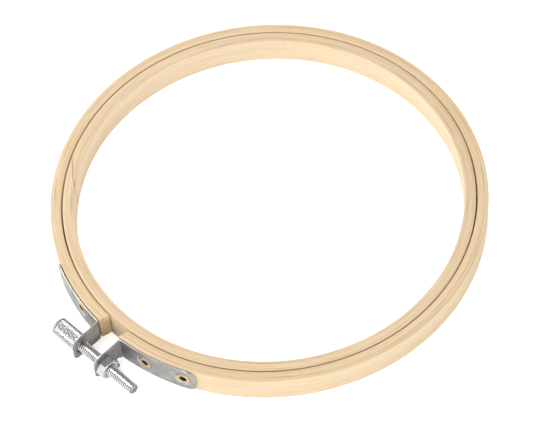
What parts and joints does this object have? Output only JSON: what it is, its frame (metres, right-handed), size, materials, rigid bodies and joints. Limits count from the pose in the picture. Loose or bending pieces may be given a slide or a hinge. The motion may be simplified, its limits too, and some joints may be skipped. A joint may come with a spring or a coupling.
{
  "type": "embroidery hoop",
  "caption": "Round wooden screw hoop: a split outer ring drawn round a closed inner ring by a knurled thumbscrew and a nut on two riveted steel brackets.",
  "frame": {"origin": "on the axis of the rings, in the plane that the hoop lies on", "axes": "+Z along the ring axis and up, the cut in the outer ring towards -Y, +X from the knob towards the screw's tip"},
  "size_m": [0.152, 0.1646, 0.0105],
  "materials": {
    "outer_wood": "pale bamboo, sanded, fine grain along the strip",
    "inner_wood": "pale bamboo, sanded, fine grain along the strip",
    "sheet_steel": "dull zinc-plated sheet with sheared edges",
    "rivet_brass": "rolled brass, slightly tarnished",
    "plated_steel": "bright nickel plating",
    "knurled_steel": "bright nickel plating over a diamond knurl"
  },
  "bodies": {
    "hoop": {"outer_ring": "outer_wood", "right_bracket": "sheet_steel", "right_rivet_1": "rivet_brass", "right_rivet_2": "rivet_brass", "hex_nut": "plated_steel"},
    "left_jaw": {"left_bracket": "sheet_steel", "left_rivet_1": "rivet_brass", "left_rivet_2": "rivet_brass"},
    "screw": {"clamp_screw": "plated_steel", "knurled_knob": "knurled_steel"},
    "inner": {"inner_ring": "inner_wood"}
  },
  "joints": [
    {"name": "clamp_open", "type": "slide", "parent": "hoop", "child": "left_jaw", "axis": [-1, 0, 0], "range_m": [0, 0.008], "deforming": ["outer_ring"]},
    {"name": "knob_turn", "type": "hinge", "parent": "left_jaw", "child": "screw", "pos_m": [0, -0.0844, 0.0044], "axis": [-1, 0, 0], "range_deg": [0, 3628.4]},
    {"name": "ring_lift", "type": "slide", "parent": "hoop", "child": "inner", "axis": [0, 0, 1], "range_m": [0, 0.025]}
  ],
  "couplings": [
    {"joint": "knob_turn", "follows": "clamp_open", "rad_per_m": 7915.8}
  ]
}
